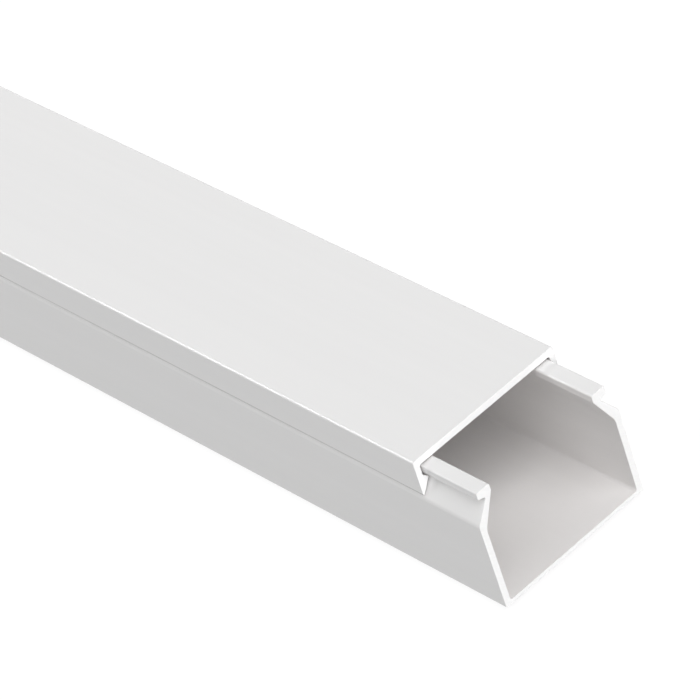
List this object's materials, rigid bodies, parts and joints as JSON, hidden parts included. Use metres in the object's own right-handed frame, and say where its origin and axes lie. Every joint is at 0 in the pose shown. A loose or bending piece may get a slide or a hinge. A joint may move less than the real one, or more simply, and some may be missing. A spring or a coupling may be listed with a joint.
{
  "type": "adhesive cable trunking",
  "caption": "Self-adhesive cable trunking: a straight extruded channel with hooked rails, a clip-on lid that slides along them, and a foam tape backing with a release liner.",
  "frame": {"origin": "middle of the release liner's back face, at half the channel's length", "axes": "+X along the trunking towards its open front end, +Y across it, +Z away from the wall it sticks to"},
  "size_m": [1.01, 0.025, 0.0209],
  "materials": {
    "channel_plastic": "satin",
    "lid_plastic": "satin",
    "tape_foam": "matte",
    "liner_paper": "satin"
  },
  "bodies": {
    "channel": {"base_channel": "channel_plastic", "adhesive_tape": "tape_foam", "release_liner": "liner_paper"},
    "cover": {"lid": "lid_plastic"}
  },
  "joints": [
    {"name": "lid_slide", "type": "slide", "parent": "channel", "child": "cover", "axis": [1, 0, 0], "range_m": [-0.99, 0.01]}
  ]
}
